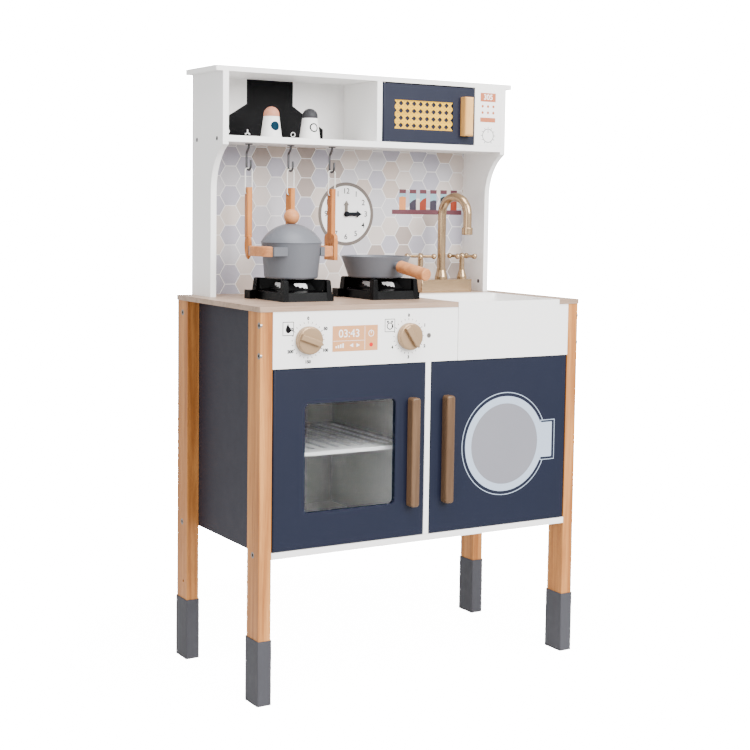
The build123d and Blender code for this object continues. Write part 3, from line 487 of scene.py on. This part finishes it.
def clip(points, x0, x1, z0, z1):
    """Part of a convex outline inside a rectangle."""
    for axis, limit, sign in ((0, x0, 1), (0, x1, -1), (1, z0, 1), (1, z1, -1)):
        kept = []
        for i, a in enumerate(points):
            b = points[(i + 1) % len(points)]
            da, db = sign * (a[axis] - limit), sign * (b[axis] - limit)
            if da >= 0:
                kept.append(a)
            if da * db < 0:
                t = da / (da - db)
                kept.append((a[0] + t * (b[0] - a[0]), a[1] + t * (b[1] - a[1])))
        points = kept
        if len(points) < 3:
            return []
    return points


def make_clock():
    """Printed face, rim and numerals round the clock pin."""
    c = centre_of("clock_pin")
    x, z = c.x, c.z
    face = circle(x, z, CLOCK_FACE_R, 96)
    printed("clock_face", PRINT_WHITE, "cabinet", SPLASH_Y, [face], layer=2)
    rim = (circle(x, z, CLOCK_R, 96), circle(x, z, CLOCK_R - CLOCK_RIM, 96))
    printed("clock_rim", CLOCK_RING, "cabinet", SPLASH_Y, bands=[rim], layer=3)
    for hour in range(1, 13):
        a = math.radians(90 - 30 * hour)
        at = (x + CLOCK_DIGIT_R * math.cos(a), z + CLOCK_DIGIT_R * math.sin(a))
        lettering(f"clock_{hour}", str(hour), PRINT_BLACK, "cabinet", *at, 13.5, SPLASH_Y, 3, 0.08)


def spice_fill(x, left, right):
    """Outline of a jar's contents, with a peak in the middle."""
    middle = (left + right) / 2 + 1.5
    w = JAR_HALF
    return [(x - w, JAR_FOOT), (x + w, JAR_FOOT), (x + w, right), (x, middle), (x - w, left)]


def make_spices():
    """Printed rack of six capped jars with level or sloping contents."""
    bar = rect(110.5, 743.4, 260.8, JAR_FOOT)
    printed("spice_bar", SPICE_BAR, "cabinet", SPLASH_Y, [bar], layer=3)
    jars = (132.6, 154.5, 176.3, 198.6, 220.7, 243.2)
    fills = ((0, 774, 774), (1, 763, 771), (2, 765, 774), (1, 767, 769), (3, 773, 777), (2, 769, 771))
    for kind in range(4):
        mine = [spice_fill(j, left, right) for j, (k, left, right) in zip(jars, fills) if k == kind]
        printed(f"spice_fill_{kind}", SPICES[kind], "cabinet", SPLASH_Y, mine, layer=3)
    glass = [rect(j - JAR_HALF, JAR_FOOT, j + JAR_HALF, JAR_TOP) for j in jars]
    printed("spice_glass", GLASS_BLUE, "cabinet", SPLASH_Y, glass, layer=2)
    caps = [rect(j - JAR_HALF, JAR_TOP, j + JAR_HALF, JAR_TOP + JAR_CAP) for j in jars]
    printed("spice_caps", SPICE_BAR, "cabinet", SPLASH_Y, caps, layer=3)


def make_hood():
    """Printed cooker hood on the cubby's back, with small icons."""
    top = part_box("hutch_top")[0].z / MM - 0.5
    z0 = SHELF_Z / MM + 0.5
    shape = [
        (-237, z0), (-32, z0), (-32, 888), (-91, 925),
        (-91, top), (-178, top), (-178, 925), (-237, 888),
    ]
    printed("hood", PRINT_BLACK, "cabinet", SPLASH_Y, [shape], layer=1)
    icons = [circle(-212, 878, 3.2, 24), rect(-213.2, 871.5, -210.8, 876)]
    for k in range(3):
        a = 90 + 120 * k
        way = math.radians(a)
        icons.append(turned_rect(-176 + 3 * math.cos(way), 877 + 3 * math.sin(way), 5, 2.2, a))
    icons.append(rect(-121.2, 872, -118.8, 882))
    icons.append(circle(-120, 872.5, 2.4, 20))
    ring = (circle(-90, 877, 4.4, 32), circle(-90, 877, 3.2, 32))
    printed("hood_icons", PRINT_WHITE, "cabinet", SPLASH_Y, icons, [ring], layer=2)


def make_controls():
    """Dials, clock display and icons on the control panel."""
    y = PANEL_Y
    scales = {
        "left": ("0", "50", "100", "150", "200", "250"),
        "right": ("0", "1", "2", "3", "4", "5"),
    }
    for side, numbers in scales.items():
        c = centre_of("knob_" + side)
        ticks = []
        for i in range(24):
            a = 90 - 15 * i
            way = math.radians(a)
            at = (c.x + DIAL_TICK_R * math.cos(way), c.z + DIAL_TICK_R * math.sin(way))
            ticks.append(turned_rect(*at, 3.6 if i % 4 == 0 else 2.4, 0.8, a))
        printed(f"dial_{side}", PRINT_BLACK, "cabinet", y, ticks)
        for i, text in enumerate(numbers):
            a = math.radians(90 - 60 * i)
            at = (c.x + DIAL_DIGIT_RX * math.cos(a), c.z + DIAL_DIGIT_RZ * math.sin(a))
            lettering(f"dial_{side}_{i}", text, PRINT_BLACK, "cabinet", *at, 6.5, y, 1, 0.35)
    printed("display", PRINT_PEACH, "cabinet", y, [rect(-176.5, 534.5, -96, 574)])
    lettering("display_time", "03:43", PRINT_WHITE, "cabinet", -147, 561.5, 17, y, 2, 0.1)
    bars = [rect(-171 + 4 * k, 540, -168.6 + 4 * k, 543 + 1.3 * k) for k in range(4)]
    arrows = [[(-146, 543.5), (-140, 540.5), (-140, 546.5)], [(-128, 543.5), (-134, 546.5), (-134, 540.5)]]
    split = [rect(-119.6, 536, -119, 572.5), rect(-175, 550.5, -120, 551)]
    power = [rect(-108.4, 561, -107.4, 567)]
    ring = [(circle(-107.9, 561, 5, 40), circle(-107.9, 561, 4.1, 40))]
    printed("display_marks", PRINT_WHITE, "cabinet", y, bars + arrows + split + power, ring, layer=2)
    printed("display_dot", PRINT_RED, "cabinet", y, [circle(-107.9, 543.5, 3.2, 32)], layer=2)
    frames = []
    line = FRAME_LINE
    for x0, z0, x1, z1 in ((-261.6, 561.8, -242.8, 582.6), (-83.5, 561.8, -64.9, 582.3)):
        inside = rect(x0 + line, z0 + line, x1 - line, z1 - line)
        frames.append((rect(x0, z0, x1, z1), inside))
    printed("icon_frames", PRINT_BLACK, "cabinet", y, bands=frames)
    flame = [(-252, 565.5), (-248.6, 566.8), (-247.6, 570), (-248.8, 573.6), (-251, 576), (-252.4, 580),
             (-254.8, 576.5), (-256.4, 572), (-256.2, 568.4), (-254.6, 566.3)]
    printed("icon_flame", PRINT_BLACK, "cabinet", y, [flame])
    eyes = [circle(-78, 577.8, 1.7, 20), circle(-70.4, 577.8, 1.7, 20)]
    face = (circle(-74.2, 571, 5.6, 36), circle(-74.2, 571, 4.2, 36))
    printed("icon_fan", PRINT_BLACK, "cabinet", y, eyes, [face])


def make_drum():
    """Printed porthole and its tab on the washer door."""
    y = DOOR_Y
    x, z = DRUM
    printed("drum_tab_line", DRUM_RING, "washer_door", y, [rect(224, 336, 254, 404)])
    outer = (circle(x, z, 85.6, 128), circle(x, z, 84.4, 128))
    printed("drum_line", DRUM_RING, "washer_door", y, bands=[outer], layer=2)
    printed("drum_tab_gap", NAVY, "washer_door", y, [rect(225.5, 337.2, 252.8, 402.8)], layer=2)
    printed("drum_tab", DRUM_RING, "washer_door", y, [rect(224, 341, 248, 400)], layer=3)
    wide = (circle(x, z, 79, 128), circle(x, z, 67, 128))
    printed("drum_ring", DRUM_RING, "washer_door", y, bands=[wide], layer=4)
    printed("drum_glass", DRUM_GREY, "washer_door", y, [circle(x, z, 67.2, 128)], layer=3)


def make_fascia():
    """Printed display, keys and dial beside the microwave door."""
    y = FASCIA_Y
    screens = [rect(219.6, 943.2, 252.2, 958.3), rect(219.6, 907.5, 252, 915.4)]
    printed("microwave_display", PRINT_RUST, "cabinet", y, screens)
    lettering("microwave_time", "305", PRINT_WHITE, "cabinet", 236, 950.8, 13, y, 2, 0.25)
    keys = []
    for row in range(2):
        for col in range(3):
            keys.append(circle(224.5 + 11.5 * col, 935 - 11 * row, 2.4, 20))
    printed("microwave_keys", PRINT_RUST, "cabinet", y, keys)
    x, z = MICROWAVE_DIAL
    ring = (circle(x, z, 12, 64), circle(x, z, 11, 64))
    printed("microwave_dial", PRINT_BLACK, "cabinet", y, bands=[ring])
    ticks = []
    for i in range(11):
        a = -60 + 30 * i
        at = (x + 14 * math.cos(math.radians(a)), z + 14 * math.sin(math.radians(a)))
        ticks.append(turned_rect(*at, 2.4, 0.9, a))
    printed("microwave_ticks", PRINT_BLACK, "cabinet", y, ticks + [rect(236.6, 889, 237.4, 894)])


# ---------------------------------------------------------------- turned and soft pieces

def lathe(name, profile, place, look, body, n=72):
    """Turned piece about a vertical axis, closed at both ends, from (radius, height) pairs."""
    bm = bmesh.new()
    rings = []
    for r, h in profile:
        ring = []
        for i in range(n):
            a = 2 * math.pi * i / n
            x, y = place[0] + r * MM * math.cos(a), place[1] + r * MM * math.sin(a)
            ring.append(bm.verts.new((x, y, place[2] + h * MM)))
        rings.append(ring)
    for a, b in zip(rings, rings[1:]):
        for i in range(n):
            j = (i + 1) % n
            bm.faces.new((a[i], a[j], b[j], b[i]))
    bm.faces.new(list(reversed(rings[0])))
    bm.faces.new(rings[-1])
    obj = finish_mesh(bm, name, look, body)
    for face in obj.data.polygons:
        face.use_smooth = len(face.vertices) == 4
    return obj


def make_cane():
    """Woven cane: upright and level pairs of strands crossed by two diagonals round each hole."""
    low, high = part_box("cane_panel")
    x0, x1, z0, z1 = (v / MM for v in (low.x, high.x, low.z, high.z))
    face_y = high.y
    mid_x, mid_z = (x0 + x1) / 2, (z0 + z1) / 2
    strands = []
    for i in range(-4, 5):
        for off in (-CANE_PAIR, CANE_PAIR):
            x = mid_x + i * CANE_STEP_X + off
            strands.append(([(x, z0), (x, z1)], 0.35 if off < 0 else 0.5))
    for j in range(-2, 3):
        for off in (-CANE_PAIR, CANE_PAIR):
            z = mid_z + j * CANE_STEP_Z + off
            strands.append(([(x0, z), (x1, z)], 0.65 if off < 0 else 0.8))
    for i in range(-9, 6):
        for sign, out in ((1, 0.95), (-1, 1.1)):
            a = (mid_x + (i + 0.5) * CANE_STEP_X, mid_z - 2 * sign * CANE_STEP_Z)
            b = (a[0] + 4 * CANE_STEP_X, mid_z + 2 * sign * CANE_STEP_Z)
            strands.append(([a, b], out))
    bm = bmesh.new()
    for (a, b), out in strands:
        dx, dz = b[0] - a[0], b[1] - a[1]
        length = math.hypot(dx, dz)
        nx, nz = -dz / length * CANE_HALF, dx / length * CANE_HALF
        outline = [
            (a[0] + nx, a[1] + nz), (b[0] + nx, b[1] + nz),
            (b[0] - nx, b[1] - nz), (a[0] - nx, a[1] - nz),
        ]
        cut = clip(outline, x0, x1, z0, z1)
        if len(cut) > 2:
            prism(bm, cut, face_y - out * MM, 0.35 * MM)
    weave = finish_mesh(bm, "cane_weave", CANE, "microwave_door")
    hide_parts("cane_panel")


def flame(bm, place, across, up, out, wide):
    """Flat ragged flame lying on a steep face."""
    shape = [
        (-11, 2), (-10.5, 5), (0, 5.4), (9.5, 4.5), (11, 1), (10.4, -5), (7.5, -3.2), (5, -4.4), (2.5, -1.5),
        (-2, -2.8), (-5, 0.5), (-8, -0.8),
    ]
    lower = [bm.verts.new(place + across * a * wide * MM + up * b * MM) for a, b in shape]
    upper = [bm.verts.new(v.co + out * 0.3 * MM) for v in lower]
    bm.faces.new(upper)
    bm.faces.new(list(reversed(lower)))
    for i in range(len(shape)):
        j = (i + 1) % len(shape)
        bm.faces.new((lower[i], lower[j], upper[j], upper[i]))


def make_flames():
    """White flame prints on the steep faces round each burner's crown."""
    for name in ("burner_left", "burner_right"):
        low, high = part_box(name)
        mid = Vector((low.x + 56 * MM, (low.y + high.y) / 2, low.z))
        bm = bmesh.new()
        for flat, outer, inner, wide in (
            (Vector((-1, 0, 0)), 27, 20, 1.35), (Vector((1, 0, 0)), 27, 20, 1.35),
            (Vector((0, -1, 0)), 35, 27, 1.0), (Vector((0, 1, 0)), 35, 27, 1.0),
        ):
            run, rise = (outer - inner) * MM, 12 * MM
            up = (-flat * run + Vector((0, 0, rise))).normalized()
            out = (flat * rise + Vector((0, 0, run))).normalized()
            centre = mid + flat * (outer - 0.5 * (outer - inner)) * MM + Vector((0, 0, 23 * MM))
            flame(bm, centre - out * 0.02 * MM, up.cross(out), up, out, wide)
        finish_mesh(bm, name + "_flames", PRINT_WHITE, "cabinet")


def make_shakers():
    """White tapered body under a coloured dome, with a round badge on the front."""
    for name, look, badge, radii in (
        ("shaker_left", PEACH_BODY, PRINT_TEAL, (7.4, 5.6, 3.8, 2.0)),
        ("shaker_right", GREY_BODY, PRINT_BLACK, (7.4, 6.4, 5.4)),
    ):
        low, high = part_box(name)
        mid = (low + high) / 2
        foot = (mid.x, mid.y, low.z)
        body = lathe(name + "_turned", SHAKER_BODY, foot, SHAKER_WHITE, name)
        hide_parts(name)
        dome = [(12.8, 34.8), (13.0, 35.4), (13.0, 38)]
        for k in range(1, 12):
            a = math.radians(7.6 * k)
            dome.append((13.0 * math.cos(a), 38 + 12.9 * math.sin(a)))
        lathe(name + "_dome", dome, foot, look, name)
        bm = bmesh.new()
        make_badge(bm, foot, radii)
        finish_mesh(bm, name + "_badge", badge, name)


def make_badge(bm, foot, radii, n=40):
    """Thin badge that follows the tapered body: a full disc, or a ring when it has three radii."""
    def layer(radius, lift):
        ring = []
        for i in range(n):
            a = 2 * math.pi * i / n
            bx, bz = radius * math.cos(a), BADGE_Z + radius * math.sin(a)
            wall = SHAKER_R - (bz - 2) * SHAKER_TAPER
            by = -math.sqrt(wall * wall - bx * bx) - lift
            ring.append(bm.verts.new((foot[0] + bx * MM, foot[1] + by * MM, foot[2] + bz * MM)))
        return ring

    front = [layer(r, 0.2) for r in radii]
    back = [layer(r, -0.5) for r in radii]
    full = len(radii) == 4
    loop = front + back[::-1]
    pairs = list(zip(loop, loop[1:]))
    if full:
        del pairs[len(radii) - 1]
    pairs.append((loop[-1], loop[0]))
    for a, b in pairs:
        for i in range(n):
            j = (i + 1) % n
            bm.faces.new((a[i], a[j], b[j], b[i]))
    if full:
        bm.faces.new(front[-1])
        bm.faces.new(list(reversed(back[-1])))


def make_cords():
    """Cord loop of each utensil: the CAD route's points on one smooth spline."""
    for name in ("spoon", "fork_spatula", "turner"):
        low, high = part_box(name + "_cord")
        mid = (low + high) / 2
        radius = CORD_R * MM
        hole_z = low.z + radius
        top = high.z - radius
        half = (high.x - low.x) / 2 - radius
        bend = CORD_BEND * MM
        side = [hole_z, hole_z + bend, top - bend, top]
        route = [(mid.x - 1.0 * MM, hole_z)]
        route += [(mid.x - half, z) for z in side]
        route += [(mid.x + half, z) for z in reversed(side)]
        route.append((mid.x + 1.0 * MM, hole_z))
        curve = bpy.data.curves.new(name + "_loop", "CURVE")
        curve.dimensions = "3D"
        curve.bevel_depth = radius
        curve.bevel_resolution = 6
        curve.resolution_u = 24
        curve.use_fill_caps = True
        spline = curve.splines.new("NURBS")
        spline.points.add(len(route) - 1)
        for point, (x, z) in zip(spline.points, route):
            point.co = (x, mid.y, z, 1)
        spline.order_u = 3
        spline.use_endpoint_u = True
        curve.materials.append(CORD_WHITE)
        obj = bpy.data.objects.new(name + "_loop", curve)
        bpy.context.scene.collection.objects.link(obj)
        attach(obj, name)
        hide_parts(name + "_cord")


def make_floor():
    """Pale floor that fades into the backdrop away from the object."""
    look = painted("floor_paint", (0.93, 0.93, 0.93), 0.9, 0.005)
    tree = look.node_tree
    at = tree.nodes.new("ShaderNodeTexCoord")
    length = tree.nodes.new("ShaderNodeVectorMath")
    length.operation = "LENGTH"
    fade = tree.nodes.new("ShaderNodeMapRange")
    fade.interpolation_type = "SMOOTHSTEP"
    fade.inputs["From Min"].default_value = 0.45
    fade.inputs["From Max"].default_value = 1.5
    fade.inputs["To Min"].default_value = 0.5
    fade.inputs["To Max"].default_value = 0
    tree.links.new(at.outputs["Object"], length.inputs[0])
    tree.links.new(length.outputs["Value"], fade.inputs["Value"])
    tree.links.new(fade.outputs["Result"], tree.nodes["Principled BSDF"].inputs["Alpha"])
    mesh = bpy.data.meshes.new("floor")
    mesh.from_pydata([(-4, -4, 0), (4, -4, 0), (4, 4, 0), (-4, 4, 0)], [], [(0, 1, 2, 3)])
    mesh.materials.append(look)
    floor = bpy.data.objects.new("floor", mesh)
    bpy.context.scene.collection.objects.link(floor)


make_camera()
make_cords()
make_light()
dress_nodes()
make_tiles()
make_clock()
make_spices()
make_hood()
make_controls()
make_drum()
make_fascia()
make_cane()
make_flames()
make_shakers()
make_floor()
